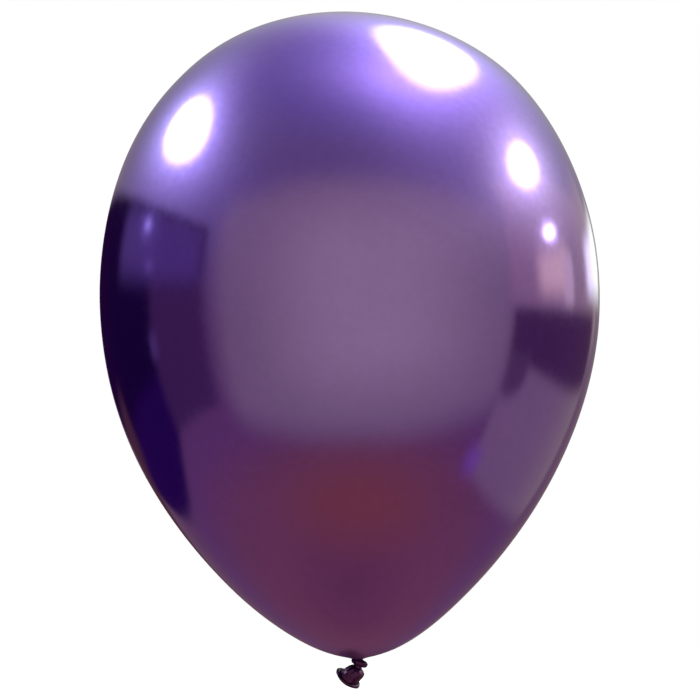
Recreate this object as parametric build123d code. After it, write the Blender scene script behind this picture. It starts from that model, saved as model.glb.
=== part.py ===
"""A tied, inflated latex party balloon, 30 cm across, in millimetres.

Frame: +Z runs from the neck up through the crown, and the origin is the point where the inflated skin is
gathered into the knot. The tail hangs below the knot and leans towards -X and +Y.

A real balloon is one dip-moulded piece of latex. It is divided here where it bends and where it changes
from one shape to the next. The two places that bend, the neck above the knot and the tail below it, each
hold a ball on which the next piece swings, so the gaps stay the same at every angle.
"""
from build123d import *
import math
import os

# Overall sizes
BODY_WIDTH = 300.0           # widest diameter of the inflated skin
BODY_HEIGHT = 388.0          # from the neck to the crown
SKIN_WALL = 0.4              # a solid wall in place of latex that is about 0.03 thick when inflated

# Egg shape of the body: shares of the mean radius, added along the axis
CROWN_FULLNESS = 0.138       # the crown half is fuller than the neck half
POLE_PINCH = -0.086          # both ends are drawn in
NECK_TAPER = 0.118           # the neck end narrows like a cone
OUTLINE_POINTS = 25

# Neck: the gathered latex between the skin and the knot
NECK_HOLE_RADIUS = 6.0
NECK_PIVOT_HEIGHT = 0.4
THROAT_BALL_RADIUS = 2.2
THROAT_DISC_THICKNESS = 0.5

# Knot: one turn of the rolled neck round the strand that it is pulled over
STRAND_RADIUS = 2.5
STRAND_TOP = -1.2
LOOP_RADIUS = 3.0
LOOP_TUBE_RADIUS = 1.7
LOOP_OFFSET = 1.0
LOOP_HEIGHT = -3.4
LOOP_SLOPE = 18.0            # degrees, the +X side is the lower one

# Tail: the untied end of the neck, with its rolled lip
TAIL_PIVOT_HEIGHT = -5.8
TAIL_PIVOT_OFFSET = -0.8
STEM_BALL_RADIUS = 1.7
TAIL_LENGTH = 8.9            # from the tail's pivot to the middle of the lip
TAIL_LEAN_SIDE = 38.0        # degrees from straight down, towards -X
TAIL_LEAN_BACK = 16.0        # degrees, towards +Y
TAIL_WALL = 0.5
ROOT_RADIUS = 1.9
SHOULDER_RADIUS = 4.6
SHOULDER_REACH = 3.3         # from the tail's pivot, along the tail
RIM_WIDTH = 16.8             # outside diameter of the rolled lip
RIM_THICKNESS = 1.7

# Fits
SWING_GAP = 0.2              # between a ball and the cup that turns on it
NECK_GAP = 0.3               # between the skin's neck hole and the disc inside it
CUP_REACH = 45.0             # degrees of the ball, from its pole, that a cup covers


def egg_share(angle):
    """Radius of the body's outline at an angle from the crown, as a share of its mean radius."""
    x = math.cos(angle)
    return math.sin(angle) * (1 + CROWN_FULLNESS * x + POLE_PINCH * x**2 + NECK_TAPER * x**3)


WIDEST_SHARE = max(egg_share(math.pi * i / 2000) for i in range(2001))


def outline(angle, inset=0.0):
    """Point of the body's outline at an angle from the crown, moved inwards by an inset."""
    step = 1e-5

    def place(a):
        return (BODY_WIDTH / 2 * egg_share(a) / WIDEST_SHARE, BODY_HEIGHT * (1 + math.cos(a)) / 2)

    (r0, z0), (r1, z1) = place(angle - step), place(angle + step)
    length = math.hypot(r1 - r0, z1 - z0)
    r, z = place(angle)
    return r + inset * (z1 - z0) / length, z - inset * (r1 - r0) / length


def neck_angle(radius, inset):
    """Angle from the crown at which the outline has narrowed to a radius beside the neck."""
    low, high = math.pi / 2, math.pi
    for _ in range(60):
        middle = (low + high) / 2
        if outline(middle, inset)[0] > radius:
            low = middle
        else:
            high = middle
    return low


def outline_curve(inset):
    """Half outline of the body from the crown to the edge of the neck hole."""
    end = neck_angle(NECK_HOLE_RADIUS, inset)
    points = [(0, BODY_HEIGHT - inset)]
    for i in range(1, OUTLINE_POINTS):
        r, z = outline(end * i / (OUTLINE_POINTS - 1), inset)
        points.append((r, z))
    (r0, z0), (r1, z1) = outline(end - 1e-4, inset), outline(end, inset)
    return Spline(*points, tangents=[(1, 0), (r1 - r0, z1 - z0)], tangent_scalars=[1, 1])


def turned(*edges):
    """Solid of revolution about Z from the edges of a closed half section drawn as (radius, height)."""
    section = make_face(Wire(edges))
    return revolve(Plane.XZ * section, Axis.Z)


def neck_ball(radius):
    """Sphere about the point that the neck bends at."""
    return Pos(0, 0, NECK_PIVOT_HEIGHT) * Sphere(radius)


def tail_ball(radius):
    """Sphere about the point that the tail bends at."""
    return Pos(TAIL_PIVOT_OFFSET, 0, TAIL_PIVOT_HEIGHT) * Sphere(radius)


def balloon_skin():
    """The inflated envelope, open only at the neck."""
    outer = outline_curve(0)
    inner = outline_curve(SKIN_WALL)
    crown = Line(inner @ 0, outer @ 0)
    hole = Line(outer @ 1, inner @ 1)
    return turned(crown, outer, hole, inner)


def neck_throat():
    """The gathered neck: a disc that closes the neck hole, on the ball that the knot swings on."""
    disc_radius = NECK_HOLE_RADIUS - NECK_GAP
    disc = Pos(0, 0, NECK_PIVOT_HEIGHT) * Cylinder(disc_radius, THROAT_DISC_THICKNESS)
    return (disc & neck_ball(disc_radius)) + neck_ball(THROAT_BALL_RADIUS)


def knot_strand():
    """The strand inside the knot, cupped at the top for the neck and at the bottom for the tail."""
    bottom = TAIL_PIVOT_HEIGHT + (STEM_BALL_RADIUS + SWING_GAP) * math.cos(math.radians(CUP_REACH))
    height = STRAND_TOP - bottom
    column = Pos(0, 0, bottom + height / 2) * Cylinder(STRAND_RADIUS, height)
    return column - neck_ball(THROAT_BALL_RADIUS + SWING_GAP) - tail_ball(STEM_BALL_RADIUS + SWING_GAP)


def knot_loop(strand):
    """The turn of rolled latex that is pulled tight round the strand."""
    ring = Pos(LOOP_OFFSET, 0, LOOP_HEIGHT) * Rot(0, LOOP_SLOPE, 0) * Torus(LOOP_RADIUS, LOOP_TUBE_RADIUS)
    ring -= Pos(0, 0, LOOP_HEIGHT) * Cylinder(STRAND_RADIUS, 4 * LOOP_RADIUS)
    return ring - tail_ball(STEM_BALL_RADIUS + SWING_GAP) - strand


def tail_frame():
    """Plane at the tail's pivot whose Z points out of the tail's mouth."""
    side, back = math.radians(TAIL_LEAN_SIDE), math.radians(TAIL_LEAN_BACK)
    mouth = (-math.sin(side) * math.cos(back), math.sin(back), -math.cos(side) * math.cos(back))
    pivot = (TAIL_PIVOT_OFFSET, 0, TAIL_PIVOT_HEIGHT)
    return Plane(origin=pivot, x_dir=(math.cos(side), 0, -math.sin(side)), z_dir=mouth)


def rim_ring():
    """The rolled lip, in the tail's own frame."""
    tube = RIM_THICKNESS / 2
    return Pos(0, 0, TAIL_LENGTH) * Torus(RIM_WIDTH / 2 - tube, tube)


def skirt_curve(inset, start):
    """Half outline of the tail, from its closed end to the middle of the lip's tube, as a bell."""
    rim_radius = RIM_WIDTH / 2 - RIM_THICKNESS / 2 + TAIL_WALL / 2
    return Spline(
        (ROOT_RADIUS - inset, start),
        (SHOULDER_RADIUS - inset, SHOULDER_REACH + inset),
        (rim_radius - inset, TAIL_LENGTH),
    )


def tail_skirt():
    """The bell-shaped end of the neck, open at its mouth and cupped at its root for the stem."""
    cup_radius = STEM_BALL_RADIUS + SWING_GAP
    root = cup_radius * math.cos(math.radians(CUP_REACH))
    floor = cup_radius + TAIL_WALL
    outer = skirt_curve(0, root)
    inner = skirt_curve(TAIL_WALL, floor)
    bell = turned(
        Line((0, root), outer @ 0),
        outer,
        Line(outer @ 1, inner @ 1),
        inner,
        Line(inner @ 0, (0, floor)),
        Line((0, floor), (0, root)),
    )
    return bell - Sphere(cup_radius) - rim_ring()


strand = knot_strand()
frame = tail_frame()
parts = {
    "balloon_skin": balloon_skin(),
    "neck_throat": neck_throat(),
    "knot_strand": strand,
    "knot_loop": knot_loop(strand),
    "tail_stem": tail_ball(STEM_BALL_RADIUS),
    "tail_skirt": frame.location * tail_skirt(),
    "rolled_rim": frame.location * rim_ring(),
}

os.makedirs("parts", exist_ok=True)
for name, solid in parts.items():
    export_step(solid, f"parts/{name}.step")
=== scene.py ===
"""Looks of a tied, metallic violet latex balloon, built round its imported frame.

The balloon stands with its neck at the origin and its crown up +Z. Everything is in metres.
"""

import logging
import math
from dataclasses import dataclass, field
from enum import Enum
from typing import Any

import bpy
import numpy as np
from mathutils import Matrix, Vector


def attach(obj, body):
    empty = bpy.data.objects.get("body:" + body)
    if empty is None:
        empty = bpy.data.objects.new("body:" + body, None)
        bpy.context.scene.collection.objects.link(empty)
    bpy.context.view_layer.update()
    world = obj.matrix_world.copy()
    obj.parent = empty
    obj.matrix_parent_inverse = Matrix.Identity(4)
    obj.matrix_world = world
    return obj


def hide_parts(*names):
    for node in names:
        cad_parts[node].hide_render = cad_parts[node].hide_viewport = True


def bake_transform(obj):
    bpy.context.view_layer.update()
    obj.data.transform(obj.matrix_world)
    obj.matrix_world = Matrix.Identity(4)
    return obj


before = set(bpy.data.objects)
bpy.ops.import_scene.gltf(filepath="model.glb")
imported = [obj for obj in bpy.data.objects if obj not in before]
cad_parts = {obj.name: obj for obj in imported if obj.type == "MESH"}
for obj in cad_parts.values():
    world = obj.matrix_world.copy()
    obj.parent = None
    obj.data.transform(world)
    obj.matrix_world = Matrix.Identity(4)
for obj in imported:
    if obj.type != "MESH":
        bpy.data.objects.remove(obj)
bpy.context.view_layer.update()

MM = 0.001
LOG = logging.getLogger("balloon")

Colour = tuple[float, float, float]


class Slot(Enum):
    """The record's material slots."""

    METALLIC = "metallic_latex"
    DENSE = "dense_latex"


# ---------------------------------------------------------------- node trees


class Term:
    """One socket of a node tree, as a number that Python's operators work on."""

    def __init__(self, tree: "Tree", socket: bpy.types.NodeSocket) -> None:
        """Wrap an output socket of a tree."""
        self.tree = tree
        self.socket = socket

    def of(self, output: str | int) -> "Term":
        """Another output of the same node."""
        return Term(self.tree, self.socket.node.outputs[output])

    def maths(self, operation: str, *values: Any) -> "Term":
        """The result of a Math node on this term and more values."""
        inputs = dict(enumerate((self, *values)))
        return self.tree.add("ShaderNodeMath", {"operation": operation}, inputs)

    def __add__(self, other: Any) -> "Term":
        """Sum."""
        return self.maths("ADD", other)

    __radd__ = __add__

    def __sub__(self, other: Any) -> "Term":
        """Difference."""
        return self.maths("SUBTRACT", other)

    def __rsub__(self, other: Any) -> "Term":
        """Difference, with this term taken away."""
        return self.tree.add("ShaderNodeMath", {"operation": "SUBTRACT"}, {0: other, 1: self})

    def __mul__(self, other: Any) -> "Term":
        """Product."""
        return self.maths("MULTIPLY", other)

    __rmul__ = __mul__

    def __truediv__(self, other: Any) -> "Term":
        """Quotient."""
        return self.maths("DIVIDE", other)

    def __pow__(self, other: Any) -> "Term":
        """Power."""
        return self.maths("POWER", other)

    def __neg__(self) -> "Term":
        """Opposite."""
        return self.maths("MULTIPLY", -1.0)

    def sin(self) -> "Term":
        """Sine of an angle in radians."""
        return self.maths("SINE")

    def cos(self) -> "Term":
        """Cosine of an angle in radians."""
        return self.maths("COSINE")

    def rise(self, low: float, high: float) -> "Term":
        """A smooth step from 0 at low to 1 at high."""
        settings = {"interpolation_type": "SMOOTHSTEP"}
        return self.tree.add("ShaderNodeMapRange", settings, {"Value": self, 1: low, 2: high})

    def band(self, low: float, high: float, soft: float) -> "Term":
        """1 between low and high and 0 outside, with soft edges."""
        return self.rise(low - soft, low + soft) * (1 - self.rise(high - soft, high + soft))


class Tree:
    """Adds nodes to one node tree."""

    def __init__(self, tree: bpy.types.NodeTree) -> None:
        """Work on a tree, emptied of its nodes."""
        self.tree = tree
        tree.nodes.clear()

    def add(
        self,
        kind: str,
        settings: dict[str, Any] | None = None,
        values: dict[str | int, Any] | None = None,
        output: str | int = 0,
    ) -> Term:
        """Add a node.

        Args:
            kind: the node's type.
            settings: its properties, and "stops" for a colour ramp, all set before its sockets.
            values: numbers, colours or terms for its inputs, by name or number.
            output: the output that is handed back.

        Returns:
            The chosen output, or the last input of a node that has no output.
        """
        node = self.tree.nodes.new(kind)
        for name, value in (settings or {}).items():
            if name == "stops":
                self._stops(node.color_ramp, value)
            else:
                setattr(node, name, value)
        for name, value in (values or {}).items():
            self.feed(node.inputs[name], value)
        sockets = node.outputs if len(node.outputs) else node.inputs
        return Term(self, sockets[output])

    def feed(self, socket: bpy.types.NodeSocket, value: Any) -> None:
        """Link a term to an input, or set the input to a plain value."""
        if isinstance(value, Term):
            self.tree.links.new(value.socket, socket)
        elif isinstance(value, tuple) and socket.type == "RGBA" and len(value) == 3:
            socket.default_value = (*value, 1.0)
        else:
            socket.default_value = value

    def mix(self, factor: Any, low: Any, high: Any, blend: str = "MIX") -> Term:
        """Mix two colours.

        Args:
            factor: the share of the second colour.
            low: the first colour.
            high: the second colour.
            blend: how the second is laid on the first.

        Returns:
            The mixed colour.
        """
        settings = {"data_type": "RGBA", "blend_type": blend}
        return self.add("ShaderNodeMix", settings, {0: factor, 6: low, 7: high}, output=2)

    @staticmethod
    def _stops(ramp: bpy.types.ColorRamp, stops: list[tuple[float, Colour]]) -> None:
        """Give a ramp its stops."""
        while len(ramp.elements) < len(stops):
            ramp.elements.new(1.0)
        for element, (place, colour) in zip(ramp.elements, stops):
            element.position = place
            element.color = (*colour, 1.0)


# ---------------------------------------------------------------- finishes


@dataclass(frozen=True)
class MetallicLatex:
    """Chrome-coated latex, stretched tight: a violet mirror with a faint cloudy grain."""

    name: str = "metallic_violet_latex"
    violet: Colour = (0.37, 0.20, 0.90)
    thick: Colour = (0.22, 0.07, 0.30)
    roughness: float = 0.12
    neck_roughness: float = 0.40
    cloud_scale: float = 16.0
    mottle_scale: float = 240.0
    grain_scale: float = 1600.0
    neck_heights: tuple[float, float] = (-2 * MM, 16 * MM)
    crown_heights: tuple[float, float] = (384.5 * MM, 388.5 * MM)
    relief: float = 0.03 * MM

    def material(self) -> bpy.types.Material:
        """Build the material.

        Returns:
            A metal whose tint, haze and fine relief are read from the piece's own coordinates.
        """
        material = bpy.data.materials.new(self.name)
        material.use_nodes = True
        tree = Tree(material.node_tree)
        place = tree.add("ShaderNodeTexCoord", output="Object")
        height = tree.add("ShaderNodeSeparateXYZ", values={0: place}).of("Z")
        cloud = self._noise(tree, place, self.cloud_scale, 3.0)
        mottle = self._noise(tree, place, self.mottle_scale, 4.0)
        grain = self._noise(tree, place, self.grain_scale, 2.0)
        gathered = 1 - height.rise(*self.neck_heights)
        crown = height.rise(*self.crown_heights)
        dense = gathered * 0.45 + crown * 0.2
        tint = tree.mix(dense, self.violet, self.thick)
        shade = 0.97 + (cloud - 0.5) * 0.16 + (mottle - 0.5) * 0.14
        grey = tree.add("ShaderNodeCombineColor", values={0: shade, 1: shade, 2: shade})
        tint = tree.mix(1.0, tint, grey, "MULTIPLY")
        relief = tree.add(
            "ShaderNodeBump",
            values={"Strength": 0.20, "Distance": self.relief, "Height": grain + mottle},
            output="Normal",
        )
        haze = self.roughness + (mottle - 0.5) * 0.08 + (cloud - 0.5) * 0.06
        values = {
            "Base Color": tint,
            "Metallic": 1.0,
            "Roughness": haze + gathered * self.neck_roughness,
            "Normal": relief,
        }
        shader = tree.add("ShaderNodeBsdfPrincipled", values=values)
        tree.add("ShaderNodeOutputMaterial", values={"Surface": shader})
        return material

    @staticmethod
    def _noise(tree: Tree, place: Term, scale: float, detail: float) -> Term:
        """Soft noise of a given scale, from 0 to 1."""
        values = {"Vector": place, "Scale": scale, "Detail": detail}
        return tree.add("ShaderNodeTexNoise", values=values)


@dataclass(frozen=True)
class DenseLatex:
    """The same latex where it isn't stretched: dark plum, glossy, with fine creases along its run."""

    name: str = "dense_plum_latex"
    plum: Colour = (0.085, 0.016, 0.120)
    deep: Colour = (0.050, 0.008, 0.058)
    roughness: float = 0.17
    metallic: float = 0.88
    gloss: float = 0.09
    gloss_roughness: float = 0.08
    blotch_scale: float = 500.0
    grain_scale: float = 4200.0
    relief: float = 0.04 * MM

    def material(self) -> bpy.types.Material:
        """Build the material.

        Returns:
            A dark, mostly metallic rubber with a thin clear gloss over it.
        """
        material = bpy.data.materials.new(self.name)
        material.use_nodes = True
        tree = Tree(material.node_tree)
        place = tree.add("ShaderNodeTexCoord", output="Object")
        blotch = tree.add("ShaderNodeTexNoise", values={
            "Vector": place, "Scale": self.blotch_scale, "Detail": 3.0,
        })
        grain = tree.add("ShaderNodeTexNoise", values={
            "Vector": place, "Scale": self.grain_scale, "Detail": 2.0,
        })
        tint = tree.mix(blotch.rise(0.35, 0.68), self.plum, self.deep)
        relief = tree.add(
            "ShaderNodeBump",
            values={"Strength": 0.35, "Distance": self.relief, "Height": grain * 0.5 + blotch},
            output="Normal",
        )
        values = {
            "Base Color": tint,
            "Metallic": self.metallic,
            "Roughness": self.roughness + (blotch - 0.5) * 0.25,
            "Coat Weight": self.gloss,
            "Coat Roughness": self.gloss_roughness,
            "Normal": relief,
        }
        shader = tree.add("ShaderNodeBsdfPrincipled", values=values)
        tree.add("ShaderNodeOutputMaterial", values={"Surface": shader})
        return material


@dataclass(frozen=True)
class StudioFloor:
    """Matt white paint that fades out towards the floor's edge."""

    name: str = "studio_floor"
    white: Colour = (0.86, 0.86, 0.86)
    solid_radius: float = 0.55
    clear_radius: float = 1.05
    own_light: float = 0.35

    def material(self) -> bpy.types.Material:
        """Build the material, opaque in the middle and clear at the rim."""
        material = bpy.data.materials.new(self.name)
        material.use_nodes = True
        tree = Tree(material.node_tree)
        place = tree.add("ShaderNodeTexCoord", output="Object")
        across = tree.add("ShaderNodeSeparateXYZ", values={0: place})
        x, y = across.of("X"), across.of("Y")
        away = (x * x + y * y).maths("SQRT")
        alpha = 1 - away.rise(self.solid_radius, self.clear_radius)
        grain = tree.add("ShaderNodeTexNoise", values={"Vector": place, "Scale": 60.0})
        paint = tree.mix(grain, self.white, tuple(0.97 * part for part in self.white))
        values = {"Base Color": paint, "Roughness": 0.8, "Alpha": alpha}
        values |= {"Emission Color": (1.0, 1.0, 1.0), "Emission Strength": self.own_light}
        shader = tree.add("ShaderNodeBsdfPrincipled", values=values)
        tree.add("ShaderNodeOutputMaterial", values={"Surface": shader})
        return material


# ---------------------------------------------------------------- mesh helpers


def show(mesh: bpy.types.Mesh, name: str, material: bpy.types.Material) -> bpy.types.Object:
    """Make a smooth object of a mesh, with its faces outwards.

    Args:
        mesh: a closed mesh.
        name: the piece's name.
        material: its finish.

    Returns:
        The linked object, at the origin.
    """
    if signed_volume(mesh) < 0:
        mesh.flip_normals()
    mesh.name = name
    mesh.materials.clear()
    mesh.materials.append(material)
    mesh.polygons.foreach_set("use_smooth", [True] * len(mesh.polygons))
    piece = bpy.data.objects.new(name, mesh)
    bpy.context.scene.collection.objects.link(piece)
    return piece


def signed_volume(mesh: bpy.types.Mesh) -> float:
    """Volume inside a closed mesh, negative where its faces point inwards."""
    mesh.calc_loop_triangles()
    points = np.empty(len(mesh.vertices) * 3)
    mesh.vertices.foreach_get("co", points)
    corners = np.empty(len(mesh.loop_triangles) * 3, dtype=np.int32)
    mesh.loop_triangles.foreach_get("vertices", corners)
    a, b, c = np.moveaxis(points.reshape(-1, 3)[corners].reshape(-1, 3, 3), 1, 0)
    return float(np.einsum("ij,ij->i", a, np.cross(b, c)).sum() / 6)


def lofted(rings: np.ndarray) -> bpy.types.Mesh:
    """Join rings of points into a closed skin.

    Args:
        rings: points by ring and by place round it; the first and last rings are closed by a fan.

    Returns:
        The mesh.
    """
    count, around, _ = rings.shape
    ends = [rings[0].mean(axis=0), rings[-1].mean(axis=0)]
    points = [*map(tuple, rings.reshape(-1, 3)), *map(tuple, ends)]
    faces: list[tuple[int, ...]] = []
    for i in range(count - 1):
        for j in range(around):
            k = (j + 1) % around
            faces.append((i * around + j, i * around + k, (i + 1) * around + k, (i + 1) * around + j))
    first, last = count * around, count * around + 1
    for j in range(around):
        k = (j + 1) % around
        faces.append((first, k, j))
        faces.append((last, (count - 1) * around + j, (count - 1) * around + k))
    mesh = bpy.data.meshes.new("lofted")
    mesh.from_pydata(points, [], faces)
    mesh.validate()
    return mesh


class Recipe:
    """A Geometry Nodes tree with named inputs, applied once to make a plain mesh."""

    def __init__(self, name: str, inputs: dict[str, float | int], takes_curve: bool = False) -> None:
        """Open a tree.

        Args:
            name: the tree's name.
            inputs: its sizes, by name, with their values.
            takes_curve: whether the tree starts from the object's own curve.
        """
        self.group = bpy.data.node_groups.new(name, "GeometryNodeTree")
        self.values = inputs
        face = self.group.interface
        if takes_curve:
            face.new_socket("Geometry", in_out="INPUT", socket_type="NodeSocketGeometry")
        for label, value in inputs.items():
            kind = "NodeSocketInt" if isinstance(value, int) else "NodeSocketFloat"
            face.new_socket(label, in_out="INPUT", socket_type=kind)
        face.new_socket("Geometry", in_out="OUTPUT", socket_type="NodeSocketGeometry")
        self.tree = Tree(self.group)
        self.inputs = self.tree.add("NodeGroupInput")

    def size(self, label: str) -> Term:
        """One of the tree's named inputs."""
        return self.inputs.of(label)

    def marked(self, geometry: Term, name: str, value: Term) -> Term:
        """The geometry with a number stored at its points under a name."""
        settings = {"data_type": "FLOAT", "domain": "POINT"}
        values = {0: geometry, "Name": name, "Value": value}
        return self.tree.add("GeometryNodeStoreNamedAttribute", settings, values)

    def mark(self, name: str) -> Term:
        """The number stored under a name."""
        settings = {"data_type": "FLOAT"}
        return self.tree.add("GeometryNodeInputNamedAttribute", settings, {"Name": name})

    def lump(self, scale: float) -> Term:
        """Noise of a given scale at each point, fixed by the tree's seed."""
        place = self.tree.add("GeometryNodeInputPosition")
        values = {"Vector": place, "W": self.size("Seed"), "Scale": scale}
        return self.tree.add("ShaderNodeTexNoise", {"noise_dimensions": "4D"}, values)

    def pushed(self, geometry: Term, push: Term) -> Term:
        """The geometry with its points pushed out along their normals."""
        outward = self.tree.add("GeometryNodeInputNormal")
        values = {0: outward, "Scale": push}
        offset = self.tree.add("ShaderNodeVectorMath", {"operation": "SCALE"}, values)
        return self.tree.add("GeometryNodeSetPosition", values={0: geometry, "Offset": offset})

    def cooked(
        self, geometry: Term, base: bpy.types.Object, material: bpy.types.Material
    ) -> bpy.types.Mesh:
        """End the tree, run it on an object and hand back the result.

        Args:
            geometry: what the tree has made.
            base: the object that it runs on, which is removed.
            material: the finish that the tree sets.

        Returns:
            A plain mesh.
        """
        real = self.tree.add("GeometryNodeRealizeInstances", values={0: geometry})
        smooth = self.tree.add("GeometryNodeSetShadeSmooth", values={0: real})
        dressed = self.tree.add("GeometryNodeSetMaterial", values={0: smooth, "Material": material})
        self.tree.add("NodeGroupOutput", values={0: dressed})
        modifier = base.modifiers.new("recipe", "NODES")
        modifier.node_group = self.group
        for item in self.group.interface.items_tree:
            if item.in_out == "INPUT" and item.name in self.values:
                modifier[item.identifier] = self.values[item.name]
        scene = bpy.context.scene
        if base.name not in scene.collection.objects:
            scene.collection.objects.link(base)
        bpy.context.view_layer.update()
        graph = bpy.context.evaluated_depsgraph_get()
        mesh = bpy.data.meshes.new_from_object(base.evaluated_get(graph), depsgraph=graph)
        base.modifiers.remove(modifier)
        bpy.data.objects.remove(base)
        return mesh


# ---------------------------------------------------------------- the balloon's sub-assemblies


@dataclass
class Envelope:
    """The inflated skin: an egg of revolution, drawn down to a pleated point at the neck."""

    finish: bpy.types.Material
    width: float = 0.300
    height: float = 0.388
    crown_fullness: float = 0.138
    pole_pinch: float = -0.086
    neck_taper: float = 0.118
    neck_pull: float = 3.25 * MM
    pull_reach: float = 4.15 * MM
    sway: tuple[tuple[float, float, float], ...] = (
        (0.0, 0.040, -1.4 * MM),
        (0.110, 0.210, 1.2 * MM),
        (0.240, 0.330, -1.0 * MM),
        (0.345, 0.388, -2.5 * MM),
    )
    pleats: int = 17
    pleat_depth: float = 0.012
    pleat_lift: float = 0.05 * MM
    pleat_radii: tuple[float, float] = (3 * MM, 16 * MM)
    pleat_top: float = 50 * MM
    pull_top: float = 60 * MM
    around: int = 336
    along: int = 220

    def widest(self) -> float:
        """Largest radius of the plain egg formula, which the width is set by."""
        angle = np.linspace(0.0, math.pi, 2001)
        x = np.cos(angle)
        share = 1 + self.crown_fullness * x + self.pole_pinch * x**2 + self.neck_taper * x**3
        return float((np.sin(angle) * share).max())

    def build(self) -> bpy.types.Object:
        """Turn a grid into the skin with Geometry Nodes.

        Returns:
            The skin, which stands for the CAD shell.
        """
        recipe = Recipe("inflated_skin", {
            "Width": self.width,
            "Height": self.height,
            "Crown Fullness": self.crown_fullness,
            "Pole Pinch": self.pole_pinch,
            "Neck Taper": self.neck_taper,
            "Widest Share": self.widest(),
            "Neck Pull": self.neck_pull,
            "Pull Reach": self.pull_reach,
            "Pleats": self.pleats,
            "Around": self.around + 1,
            "Along": self.along + 1,
        })
        tree, size = recipe.tree, recipe.size
        grid = tree.add("GeometryNodeMeshGrid", values={
            "Size X": 1.0, "Size Y": 1.0, "Vertices X": size("Around"), "Vertices Y": size("Along"),
        })
        flat = tree.add("ShaderNodeSeparateXYZ", values={0: tree.add("GeometryNodeInputPosition")})
        turn = (flat.of("X") + 0.5) * math.tau
        down = (flat.of("Y") + 0.5) * math.pi
        x = down.cos()
        share = 1 + size("Crown Fullness") * x + size("Pole Pinch") * x * x
        share = share + size("Neck Taper") * x * x * x
        radius = size("Width") / 2 / size("Widest Share") * down.sin() * share
        height = size("Height") * (x + 1) / 2
        inner, outer = self.pleat_radii
        low = 1 - height.rise(0.0, self.pleat_top)
        near = low * (1 - radius.rise(inner, outer)) * radius.rise(0.0, inner)
        wave = (turn * size("Pleats")).cos() + (turn * 7.0 + 1.3).cos() * 0.6
        reach = radius.maths("MAXIMUM", inner) / size("Pull Reach")
        drawn = (-reach).maths("EXPONENT") * size("Neck Pull") * (1 - height.rise(0.0, self.pull_top))
        radius = radius * (1 + near * wave * self.pleat_depth)
        height = height - drawn + near * wave * self.pleat_lift
        shift = sum(height.rise(low_end, high_end) * step for low_end, high_end, step in self.sway)
        place = tree.add("ShaderNodeCombineXYZ", values={
            0: radius * turn.cos() + shift, 1: radius * turn.sin(), 2: height,
        })
        shaped = tree.add("GeometryNodeSetPosition", values={0: grid, "Position": place})
        closed = tree.add("GeometryNodeMergeByDistance", values={0: shaped, "Distance": 1e-6})
        base = bpy.data.objects.new("skin_base", bpy.data.meshes.new("skin_base"))
        piece = show(recipe.cooked(closed, base, self.finish), "inflated_skin", self.finish)
        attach(piece, "inflated_body")
        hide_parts("balloon_skin")
        return piece


@dataclass
class GatheredNeck:
    """The short pleated neck between the skin and the knot, in two pieces."""

    finish: bpy.types.Material
    flare_radius: float = 6.0 * MM
    throat_radius: float = 2.7 * MM
    top: float = 0.25 * MM
    split: float = -0.7 * MM
    bottom: float = -2.6 * MM
    overlap: float = 0.2 * MM
    twist_end: float = -1.8 * MM
    flare_power: float = 2.5
    pleats: int = 13
    pleat_depths: tuple[float, float] = (0.015, 0.045)
    twist: float = 900.0
    around: int = 104
    rings: int = 18

    def _ring(self, height: float, radius: float, depth: float) -> np.ndarray:
        """Ring of pleated points at a height."""
        turn = np.linspace(0.0, math.tau, self.around, endpoint=False)
        wave = np.cos(self.pleats * turn + self.twist * height) + 0.5 * np.cos(5 * turn + 0.7)
        r = radius * (1 + depth * wave)
        return np.stack([r * np.cos(turn), r * np.sin(turn), np.full_like(turn, height)], axis=1)

    def _part(self, high: float, low: float) -> bpy.types.Mesh:
        """Funnel between two heights."""
        least, more = self.pleat_depths
        rings = []
        for height in np.linspace(high, low, self.rings):
            share = min(1.0, max(0.0, (self.top - height) / (self.top - self.split)))
            flare = (self.flare_radius - self.throat_radius) * (1 - share) ** self.flare_power
            rings.append(self._ring(height, self.throat_radius + flare, least + more * share))
        return lofted(np.array(rings))

    def build(self) -> list[bpy.types.Object]:
        """Make the upper pleats and the lower twist.

        Returns:
            The two pieces.
        """
        upper = show(self._part(self.top, self.split), "neck_pleats", self.finish)
        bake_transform(upper)
        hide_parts("neck_throat")
        lower = show(self._part(self.split + self.overlap, self.bottom), "neck_twist", self.finish)
        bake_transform(lower)
        return [upper, lower]


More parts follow.
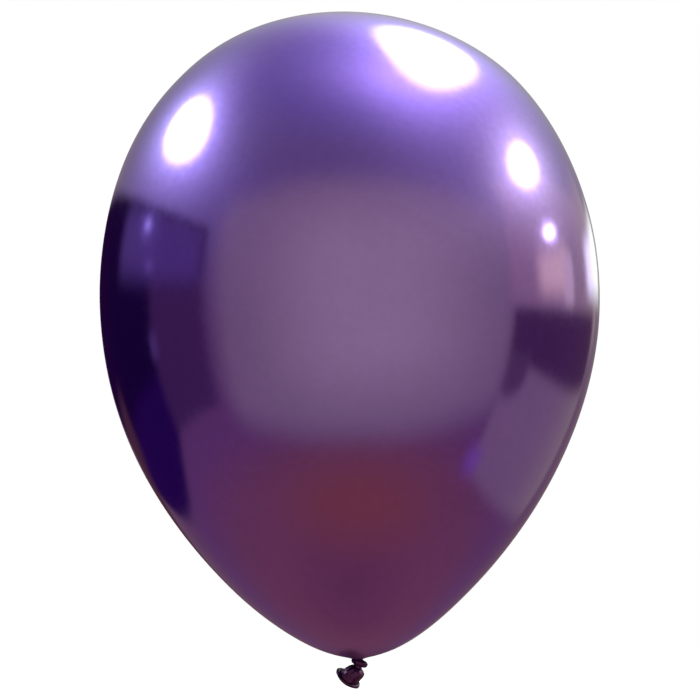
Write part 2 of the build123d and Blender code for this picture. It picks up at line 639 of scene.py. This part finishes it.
@dataclass
class OverhandKnot:
    """The neck tied in an overhand knot and pulled tight, as one creased tube along its own route."""

    finish: bpy.types.Material
    tube_radius: float = 1.95 * MM
    creases: int = 7
    crease_depth: float = 0.13 * MM
    twist: float = 9.0
    lump_scale: float = 420.0
    lump_height: float = 0.7 * MM
    route: tuple[tuple[float, float, float], ...] = (
        (0.2, 0.5, -1.0),
        (0.5, 0.9, -2.5),
        (1.9, 1.3, -4.0),
        (3.6, 0.7, -5.0),
        (4.0, -1.3, -4.8),
        (2.2, -3.0, -3.7),
        (-0.9, -2.5, -2.8),
        (-2.3, -0.4, -2.2),
        (-1.5, 1.9, -2.7),
        (0.6, 2.3, -3.9),
        (1.2, 0.8, -5.2),
        (0.2, 0.1, -6.0),
        (-0.6, 0.0, -6.7),
    )

    def _path(self) -> bpy.types.Object:
        """The route as a smooth curve object."""
        curve = bpy.data.curves.new("knot_route", "CURVE")
        curve.dimensions = "3D"
        spline = curve.splines.new("NURBS")
        spline.points.add(len(self.route) - 1)
        for point, place in zip(spline.points, self.route):
            point.co = (*(MM * part for part in place), 1.0)
        spline.order_u = 3
        spline.use_endpoint_u = True
        spline.resolution_u = 16
        return bpy.data.objects.new("knot_route", curve)

    def build(self) -> bpy.types.Object:
        """Sweep the creased tube with Geometry Nodes.

        Returns:
            The knot, which stands for the CAD strand and loop.
        """
        recipe = Recipe("knotted_tube", {
            "Tube Radius": self.tube_radius,
            "Creases": self.creases,
            "Crease Depth": self.crease_depth,
            "Twist": self.twist,
            "Seed": 4.0,
        }, takes_curve=True)
        tree, size = recipe.tree, recipe.size
        fine = tree.add("GeometryNodeResampleCurve", values={"Curve": size("Geometry"), "Count": 220})
        circle = tree.add("GeometryNodeCurvePrimitiveCircle", values={
            "Resolution": 48, "Radius": size("Tube Radius"),
        })
        share = tree.add("GeometryNodeSplineParameter", output="Factor")
        tube = tree.add("GeometryNodeCurveToMesh", values={
            "Curve": recipe.marked(fine, "along", share),
            "Profile Curve": recipe.marked(circle, "around", share),
            "Fill Caps": True,
        })
        lump = recipe.lump(self.lump_scale)
        turn = recipe.mark("around") * math.tau
        wave = (turn * size("Creases") + recipe.mark("along") * size("Twist") + lump * 3.0).cos()
        sharp = 0.5 - (wave * 0.5 + 0.5) ** 3.0
        push = sharp * size("Crease Depth") + (lump - 0.5) * self.lump_height
        creased = recipe.pushed(tube, push)
        closed = tree.add("GeometryNodeMergeByDistance", values={0: creased, "Distance": 1e-7})
        piece = show(recipe.cooked(closed, self._path(), self.finish), "overhand_knot", self.finish)
        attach(piece, "knot")
        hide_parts("knot_strand", "knot_loop")
        return piece


@dataclass
class Tail:
    """The untied end of the neck: a sleeve out of the knot, a bell with soft folds, and its rolled lip."""

    finish: bpy.types.Material
    pivot: Vector = field(default_factory=lambda: Vector((-0.5 * MM, 0.0, -7.1 * MM)))
    lean_side: float = 38.0
    lean_back: float = 16.0
    length: float = 8.9 * MM
    rim_radius: float = 7.65 * MM
    rim_tube: float = 0.98 * MM
    wall: float = 0.45 * MM
    rim_wave: float = 0.16 * MM
    roll_step: float = 0.10 * MM
    rim_lump: float = 0.35 * MM
    bell_root: float = -1.1
    bell_mouth: float = 8.8
    bell_bottom: float = 1.0
    skew_start: float = 0.3
    skew_slope: float = 0.186
    sleeve_start: Vector = field(default_factory=lambda: Vector((0.3 * MM, 0.2 * MM, -4.2 * MM)))
    around: int = 160
    outline: tuple[tuple[float, float], ...] = (
        (-1.1, 2.3),
        (-0.5, 3.3),
        (0.3, 4.35),
        (1.4, 5.05),
        (3.6, 5.55),
        (6.2, 5.90),
        (8.9, 6.60),
    )

    def axes(self) -> np.ndarray:
        """Rows are the tail's own right, back and mouth directions."""
        side, back = math.radians(self.lean_side), math.radians(self.lean_back)
        mouth = np.array([-math.sin(side) * math.cos(back), math.sin(back), -math.cos(side) * math.cos(back)])
        right = np.array([math.cos(side), 0.0, -math.sin(side)])
        return np.array([right, np.cross(mouth, right), mouth])

    def _placed(self, local: np.ndarray) -> np.ndarray:
        """Points of the tail's own frame, in metres, put in the balloon's frame."""
        return local @ self.axes() + np.array(self.pivot)

    def _radius(self, reach: np.ndarray) -> np.ndarray:
        """Smooth bell outline through the chosen points, in millimetres."""
        knots, radii = np.array(self.outline).T
        slope = np.gradient(radii, knots)
        i = np.clip(np.searchsorted(knots, reach) - 1, 0, len(knots) - 2)
        gap = knots[i + 1] - knots[i]
        t = (reach - knots[i]) / gap
        start = (2 * t**3 - 3 * t**2 + 1) * radii[i] + (t**3 - 2 * t**2 + t) * gap * slope[i]
        return start + (3 * t**2 - 2 * t**3) * radii[i + 1] + (t**3 - t**2) * gap * slope[i + 1]

    def _skew(self, reach: float) -> float:
        """Sideways shift of the bell at a distance from the pivot, both in millimetres."""
        return 1.0 - self.skew_slope * (reach + self.skew_start)

    def _bell_ring(self, reach: float, inset: float) -> np.ndarray:
        """Folded ring of the bell at a distance from the pivot, in millimetres."""
        turn = np.linspace(0.0, math.tau, self.around, endpoint=False)
        share = np.clip((reach - self.bell_root) / 10.0, 0.0, 1.0)
        folds = np.cos(5 * turn + 1.0) + 0.7 * np.cos(8 * turn - 0.6) + 0.5 * np.cos(13 * turn + 2.0)
        depth = 0.055 * math.sin(math.pi * share**0.8) + 0.012
        radius = (self._radius(np.array([reach]))[0] - inset) * (1 + depth * folds * 0.6)
        skew = self._skew(reach) * min(1.0, max(0.0, (reach - self.bell_root) / 1.5))
        x, y = radius * np.cos(turn) + skew, radius * np.sin(turn)
        return MM * np.stack([x, y, np.full_like(turn, reach)], axis=1)

    def skirt(self) -> bpy.types.Object:
        """The bell, closed at the knot and open at its mouth, with a real wall."""
        wall = self.wall / MM
        outer = [self._bell_ring(s, 0.0) for s in np.linspace(self.bell_root, self.bell_mouth, 64)]
        inner = [self._bell_ring(s, wall) for s in np.linspace(self.bell_mouth, self.bell_bottom, 40)]
        piece = show(lofted(self._placed(np.array(outer + inner))), "tail_bell", self.finish)
        start, end = self._placed(MM * np.array([[0.0, 0.0, -0.6], [0.0, 0.0, 2.0]]))
        tuple(start)
        tuple(end)
        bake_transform(piece)
        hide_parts("tail_skirt")
        return piece

    def sleeve(self) -> bpy.types.Object:
        """The short sleeve that joins the knot to the bell."""
        turn = np.linspace(0.0, math.tau, 72, endpoint=False)
        start, end = self.sleeve_start, self.pivot
        mouth = Vector(self.axes()[2])
        rings = []
        for t in np.linspace(0.0, 1.0, 22):
            centre = start.lerp(end, t)
            along = ((end - start).normalized() * (1 - t) + mouth * t).normalized()
            right = Vector((0.0, 1.0, 0.0)).cross(along).normalized()
            back = along.cross(right)
            radius = MM * (1.9 + 0.7 * t) * (1 + 0.05 * np.cos(7 * turn + 2 * t))
            rings.append([
                tuple(centre + right * float(r * math.cos(a)) + back * float(r * math.sin(a)))
                for r, a in zip(radius, turn)
            ])
        piece = show(lofted(np.array(rings)), "tail_sleeve", self.finish)
        tuple(start)
        tuple(end)
        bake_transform(piece)
        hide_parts("tail_stem")
        return piece

    def rim(self) -> bpy.types.Object:
        """The lip rolled up on itself: a slightly wavy bead with the edge of its last turn showing."""
        recipe = Recipe("rolled_lip", {
            "Rim Radius": self.rim_radius,
            "Tube Radius": self.rim_tube,
            "Wave": self.rim_wave,
            "Roll Step": self.roll_step,
            "Seed": 2.0,
        })
        tree, size = recipe.tree, recipe.size
        path = tree.add("GeometryNodeCurvePrimitiveCircle", values={
            "Resolution": 220, "Radius": size("Rim Radius"),
        })
        turn = tree.add("GeometryNodeSplineParameter", output="Factor") * math.tau
        lift = (turn * 3.0 + 0.8).cos() * size("Wave") + (turn * 5.0).sin() * size("Wave") * 0.5
        up = tree.add("ShaderNodeCombineXYZ", values={0: 0.0, 1: 0.0, 2: lift})
        path = tree.add("GeometryNodeSetPosition", values={0: path, "Offset": up})
        hoop = tree.add("GeometryNodeCurvePrimitiveCircle", values={
            "Resolution": 40, "Radius": size("Tube Radius"),
        })
        share = tree.add("GeometryNodeSplineParameter", output="Factor")
        tube = tree.add("GeometryNodeCurveToMesh", values={
            "Curve": path, "Profile Curve": recipe.marked(hoop, "around", share), "Fill Caps": False,
        })
        lump = recipe.lump(300.0)
        groove = (recipe.mark("around") * math.tau * 4.0 + lump * 2.0).cos().rise(0.75, 1.0)
        push = (lump - 0.5) * self.rim_lump - groove * size("Roll Step")
        rolled = recipe.pushed(tube, push)
        base = bpy.data.objects.new("lip_base", bpy.data.meshes.new("lip_base"))
        mesh = recipe.cooked(rolled, base, self.finish)
        right, back, mouth = self.axes()
        skew = MM * self._skew(self.length / MM)
        centre = self._placed(np.array([[skew, 0.0, self.length]]))[0]
        turned = Matrix((right, back, mouth)).transposed().to_4x4()
        mesh.transform(Matrix.Translation(centre) @ turned)
        piece = show(mesh, "rolled_lip", self.finish)
        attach(piece, "tail")
        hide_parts("rolled_rim")
        return piece

    def build(self) -> list[bpy.types.Object]:
        """Make the sleeve, the bell and the lip."""
        return [self.sleeve(), self.skirt(), self.rim()]


# ---------------------------------------------------------------- the studio


@dataclass(frozen=True)
class Edge:
    """The long edge of a card: its height at a middle bearing, and how fast it bows up from there."""

    height: float
    middle: float = 0.0
    bow: float = 0.0

    def at(self, bearing: Term) -> Term:
        """Height of the edge at a bearing, in degrees."""
        aside = bearing - self.middle
        return aside * aside * self.bow + self.height


@dataclass(frozen=True)
class Card:
    """A soft-edged patch of the studio, seen in reflections, between two bearings and two edges.

    A bearing is in degrees round the balloon: 0 is on the camera's side and 90 is towards +X.
    """

    bearings: tuple[float, float]
    low: Edge
    high: Edge
    colour: Colour
    soft: tuple[float, float] = (2.0, 2.0)

    def paint(self, tree: Tree, colour: Term, view: "View") -> Term:
        """Lay the card over what is behind it."""
        side, edge = self.soft
        above = (view.height - self.low.at(view.bearing)).rise(-edge, edge)
        below = 1 - (view.height - self.high.at(view.bearing)).rise(-edge, edge)
        return tree.mix(view.bearing.band(*self.bearings, side) * above * below, colour, self.colour)


@dataclass(frozen=True)
class Lamp:
    """An oval soft lamp and the glow round it, seen in a direction, with its half sizes as sines."""

    bearing: float
    height: float
    size: tuple[float, float]
    tilt: float
    core: Colour
    spread: float
    glow: Colour

    def axes(self) -> tuple[Vector, Vector, Vector]:
        """The directions to the lamp's middle and along its two half sizes, divided by them."""
        turn, lift, tilt = (math.radians(angle) for angle in (self.bearing, self.height, self.tilt))
        middle = Vector((math.sin(turn) * math.cos(lift), -math.cos(turn) * math.cos(lift), math.sin(lift)))
        level = Vector((math.cos(turn), math.sin(turn), 0.0))
        upright = middle.cross(level)
        if upright.z < 0:
            upright.negate()
        long = level * math.cos(tilt) + upright * math.sin(tilt)
        short = upright * math.cos(tilt) - level * math.sin(tilt)
        return middle, long / self.size[0], short / self.size[1]

    def paint(self, tree: Tree, colour: Term, view: "View") -> Term:
        """Add the lamp's light to what is behind it."""
        settings = {"operation": "DOT_PRODUCT"}
        along = [tree.add("ShaderNodeVectorMath", settings, {0: view.ray, 1: tuple(axis)}, "Value")
                 for axis in self.axes()]
        facing = along[0].maths("MAXIMUM", 0.0) ** 2.0
        away = along[1] * along[1] + along[2] * along[2]
        core = facing * (1 - away.rise(0.4, 1.3))
        halo = facing / (away / self.spread**2 + 1) ** 2.0
        black = (0.0, 0.0, 0.0)
        colour = tree.mix(1.0, colour, tree.mix(halo, black, self.glow), "ADD")
        return tree.mix(1.0, colour, tree.mix(core, black, self.core), "ADD")


@dataclass(frozen=True)
class View:
    """A direction in the room, as its vector and its bearing and height in degrees."""

    ray: Term
    bearing: Term
    height: Term


LEVELS: tuple[tuple[float, Colour], ...] = (
    (-90.0, (0.245, 0.107, 0.088)),
    (-62.0, (0.300, 0.140, 0.096)),
    (-48.0, (0.276, 0.137, 0.104)),
    (-34.0, (0.215, 0.114, 0.132)),
    (-10.0, (0.183, 0.108, 0.113)),
    (30.0, (0.193, 0.157, 0.181)),
    (48.0, (0.215, 0.199, 0.181)),
    (66.0, (0.211, 0.198, 0.232)),
    (90.0, (0.290, 0.295, 0.310)),
)

ROOM: tuple[Card | Lamp, ...] = (
    # the wall behind the camera, with its lit middle
    Card((-61, 79), Edge(-44.0, 4, 0.0029), Edge(36.4, 0, -0.0029), (0.342, 0.326, 0.186), (7.0, 7.0)),
    Card((-30, 52), Edge(-31.0, -8, 0.0011), Edge(30.0, 14, -0.0011), (0.586, 0.631, 0.295), (32.0, 19.0)),
    # the floor's middle, and the back wall
    Card((-48, 60), Edge(-76.0), Edge(-52.0), (0.350, 0.138, 0.062), (46.0, 13.0)),
    Card((170, 182), Edge(-22.0), Edge(34.0), (0.25, 0.20, 0.19), (3.0, 6.0)),
    Card((-182, -176), Edge(-22.0), Edge(34.0), (0.25, 0.20, 0.19), (3.0, 6.0)),
    # the right wall, its upper part and its bright window
    Card((78, 148), Edge(-44.0, 86, 0.0055), Edge(29.0, 80, -0.0050), (0.345, 0.305, 0.185), (2.0, 2.0)),
    Card((76, 152), Edge(-1.9, 84, -0.0004), Edge(18.7, 70, -0.0010), (0.455, 0.379, 0.214), (2.0, 4.0)),
    Card((94, 117), Edge(0.8), Edge(9.2), (1.20, 1.20, 0.42), (4.0, 3.0)),
    Card((113, 121), Edge(-1.0), Edge(7.5), (1.00, 1.05, 0.47), (1.5, 2.0)),
    # the lamps
    Lamp(139.5, 56.5, (0.440, 0.215), -38.0, (4.8, 6.6, 5.5), 1.60, (2.3, 2.75, 2.45)),
    Lamp(78.0, 73.0, (0.200, 0.200), 0.0, (0.0, 0.0, 0.0), 2.00, (0.78, 0.90, 0.78)),
    Lamp(-110.5, 38.0, (0.290, 0.155), 5.0, (4.8, 6.6, 5.5), 1.40, (3.1, 4.2, 3.1)),
    Lamp(105.3, 28.5, (0.200, 0.090), -4.0, (4.8, 6.6, 5.5), 2.25, (2.3, 3.0, 1.4)),
    Lamp(105.7, 13.0, (0.090, 0.030), -1.0, (5.0, 6.6, 5.0), 1.23, (1.9, 2.6, 1.0)),
    # the dark shelf and its foot on the right
    Card((78, 147), Edge(-16.5, 100, 0.0035), Edge(-2.8, 84, 0.0006), (0.108, 0.053, 0.074), (1.6, 1.6)),
    Card((78, 92), Edge(-25.0, 82, 0.0500), Edge(-14.0), (0.156, 0.104, 0.100), (1.8, 1.8)),
    # the dark doorway on the left, with paler things in it
    Card((-177, -68), Edge(-31.5, -121, 0.0140), Edge(19.8, -90, -0.0023), (0.016, 0.002, 0.030), (1.6, 1.2)),
    Card((-165, -95), Edge(-31.5, -121, 0.0140), Edge(-13.5), (0.030, 0.004, 0.062), (2.0, 2.0)),
    Card((-174, -143), Edge(-14.5, -160, 0.0), Edge(-7.5), (0.090, 0.035, 0.045), (3.0, 2.0)),
    Card((-101, -68), Edge(-26.0), Edge(19.0, -90, -0.0023), (0.094, 0.046, 0.078), (3.0, 1.5)),
    Card((-128, -70), Edge(5.5), Edge(19.0, -90, -0.0023), (0.145, 0.105, 0.175), (5.0, 3.5)),
    Card((-103, -98), Edge(-10.0), Edge(-5.0), (0.150, 0.110, 0.150), (1.5, 1.5)),
    Lamp(-107.4, 15.4, (0.050, 0.022), 4.0, (0.45, 0.55, 0.40), 1.80, (0.30, 0.34, 0.42)),
    Lamp(-102.0, 8.0, (0.030, 0.014), 4.0, (0.12, 0.12, 0.12), 2.00, (0.10, 0.10, 0.12)),
    # a bright strip far round on the right, and a violet patch at the wall's foot
    Card((137, 160), Edge(1.3), Edge(7.3), (1.88, 2.23, 1.33), (4.0, 1.8)),
    Card((74, 84), Edge(-44.5), Edge(-38.5), (0.320, 0.170, 0.300), (4.0, 3.0)),
)


@dataclass
class Studio:
    """Room, lamps, floor and camera."""

    floor_finish: bpy.types.Material
    levels: tuple[tuple[float, Colour], ...] = LEVELS
    things: tuple[Card | Lamp, ...] = ROOM
    floor_height: float = -0.16
    floor_radius: float = 1.10
    floor_depth: float = 0.004
    camera_place: Vector = field(default_factory=lambda: Vector((-0.0007, -1.1117, 0.1856)))
    half_view: float = 10.79
    lean: float = 1.28

    def room(self) -> None:
        """Paint the room that the skin mirrors, with plain white behind the balloon for the camera."""
        world = bpy.data.worlds.new("studio")
        bpy.context.scene.world = world
        world.use_nodes = True
        tree = Tree(world.node_tree)
        ray = tree.add("ShaderNodeTexCoord", output="Generated")
        parts = tree.add("ShaderNodeSeparateXYZ", values={0: ray})
        degrees = 180.0 / math.pi
        bearing = parts.of("X").maths("ARCTAN2", -parts.of("Y")) * degrees
        height = parts.of("Z").maths("ARCSINE") * degrees
        stops = [((level + 90) / 180, colour) for level, colour in self.levels]
        colour = tree.add("ShaderNodeValToRGB", {"stops": stops}, {0: (height + 90) / 180})
        view = View(ray, bearing, height)
        for thing in self.things:
            colour = thing.paint(tree, colour, view)
        seen = tree.add("ShaderNodeLightPath", output="Is Camera Ray")
        colour = tree.mix(seen, colour, (1.0, 1.0, 1.0))
        light = tree.add("ShaderNodeBackground", values={"Color": colour, "Strength": 1.0})
        tree.add("ShaderNodeOutputWorld", values={"Surface": light})

    def floor(self) -> None:
        """Lay a round pale floor well below the tail, which the skin doesn't mirror."""
        turn = np.linspace(0.0, math.tau, 96, endpoint=False)
        level = np.full_like(turn, self.floor_height)
        steps = self.floor_radius * np.linspace(0.02, 1.0, 24)
        disc = [np.stack([r * np.cos(turn), r * np.sin(turn), level], 1) for r in steps]
        under = disc[-1] - np.array([0.0, 0.0, self.floor_depth])
        mesh = lofted(np.array([*disc, under]))
        piece = show(mesh, "floor", self.floor_finish)
        piece.visible_glossy = False

    def camera(self) -> None:
        """Set the camera level with the middle of the balloon, rolled by the balloon's slight lean."""
        half_view, lean = math.radians(self.half_view), math.radians(self.lean)
        data = bpy.data.cameras.new("camera")
        data.lens = data.sensor_width / 2 / math.tan(half_view)
        data.clip_start = 0.05
        holder = bpy.data.objects.new("camera", data)
        right = Vector((math.cos(lean), 0.0, -math.sin(lean)))
        up = Vector((math.sin(lean), 0.0, math.cos(lean)))
        turned = Matrix((right, up, Vector((0.0, -1.0, 0.0)))).transposed()
        holder.matrix_world = Matrix.Translation(self.camera_place) @ turned.to_4x4()
        bpy.context.scene.collection.objects.link(holder)
        bpy.context.scene.camera = holder

    def build(self) -> None:
        """Set up the whole studio."""
        self.camera()
        self.room()
        self.floor()
        bpy.context.scene.view_settings.view_transform = "Standard"


def report(piece: bpy.types.Object) -> None:
    """Log a piece's name and size."""
    sides = [round(side, 4) for side in piece.dimensions]
    LOG.info("%s: %d faces, %s m", piece.name, len(piece.data.polygons), sides)


def main() -> None:
    """Build the studio and the balloon's pieces, from the skin down to the lip."""
    logging.basicConfig(level=logging.INFO, format="%(name)s %(message)s")
    Studio(StudioFloor().material()).build()
    metallic, dense = MetallicLatex().material(), DenseLatex().material()
    pieces = [Envelope(metallic).build()]
    pieces += GatheredNeck(dense).build()
    pieces.append(OverhandKnot(dense).build())
    pieces += Tail(dense).build()
    for piece in pieces:
        report(piece)


if __name__ == "__main__":
    main()
